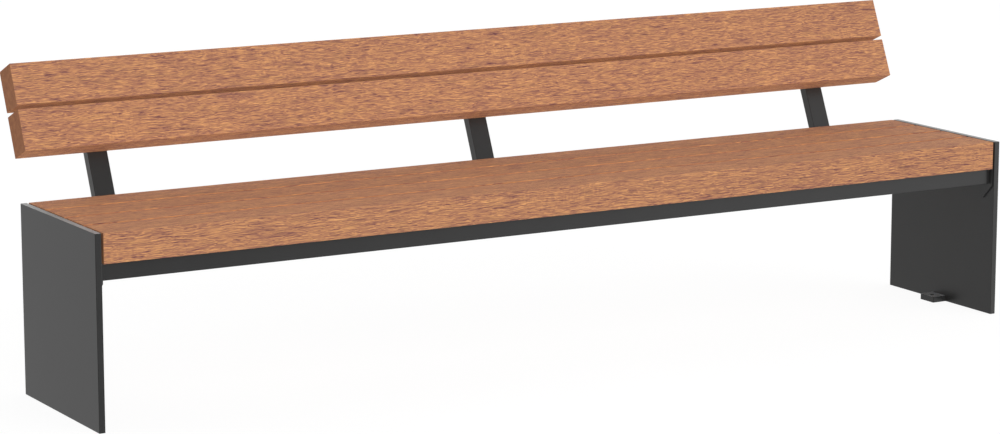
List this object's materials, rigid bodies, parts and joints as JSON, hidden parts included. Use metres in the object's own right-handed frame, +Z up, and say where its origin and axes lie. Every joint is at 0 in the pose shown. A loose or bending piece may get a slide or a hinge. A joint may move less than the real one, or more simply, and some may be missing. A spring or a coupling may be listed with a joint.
{
  "type": "street bench",
  "caption": "Long street bench: thick hardwood seat planks on a coated steel frame between plain steel end panels, with a low leaning plank backrest on steel posts.",
  "frame": {"origin": "on the floor, midway between the two floor-anchor holes, which is also the middle of the end panels' footprint", "axes": "+X along the bench towards its right end as a sitter's audience sees it from the front, +Y from the front of the seat to the back, +Z up"},
  "size_m": [2.5, 0.6096, 0.7608],
  "materials": {
    "coated_steel": "anthracite powder coat, fine grain, matt",
    "hardwood": "orange-brown oiled hardwood, planed, eased edges, open dark grain flecks",
    "stainless": "plain stainless fasteners",
    "bare_steel": "zinc-plated, dull, hidden inside the rear rail",
    "black_plastic": "matt black moulded cap"
  },
  "bodies": {
    "root": {"left_end_panel": "coated_steel", "right_end_panel": "coated_steel", "left_floor_lug": "coated_steel", "right_floor_lug": "coated_steel", "left_end_plate": "coated_steel", "right_end_plate": "coated_steel", "front_rail": "coated_steel", "rear_rail": "coated_steel", "left_bearer": "coated_steel", "centre_bearer": "coated_steel", "right_bearer": "coated_steel", "left_post_foot": "coated_steel", "centre_post_foot": "coated_steel", "right_post_foot": "coated_steel", "left_post": "coated_steel", "centre_post": "coated_steel", "right_post": "coated_steel", "seat_plank_1": "hardwood", "seat_plank_2": "hardwood", "seat_plank_3": "hardwood", "seat_plank_4": "hardwood", "back_plank_lower": "hardwood", "back_plank_upper": "hardwood", "seat_screws": "stainless", "seat_washers": "stainless", "back_screws": "stainless", "back_washers": "stainless", "panel_screws": "stainless", "panel_washers": "stainless", "foot_bolts": "stainless", "foot_washers": "stainless", "foot_weld_nuts": "bare_steel", "post_caps": "black_plastic"}
  },
  "joints": []
}
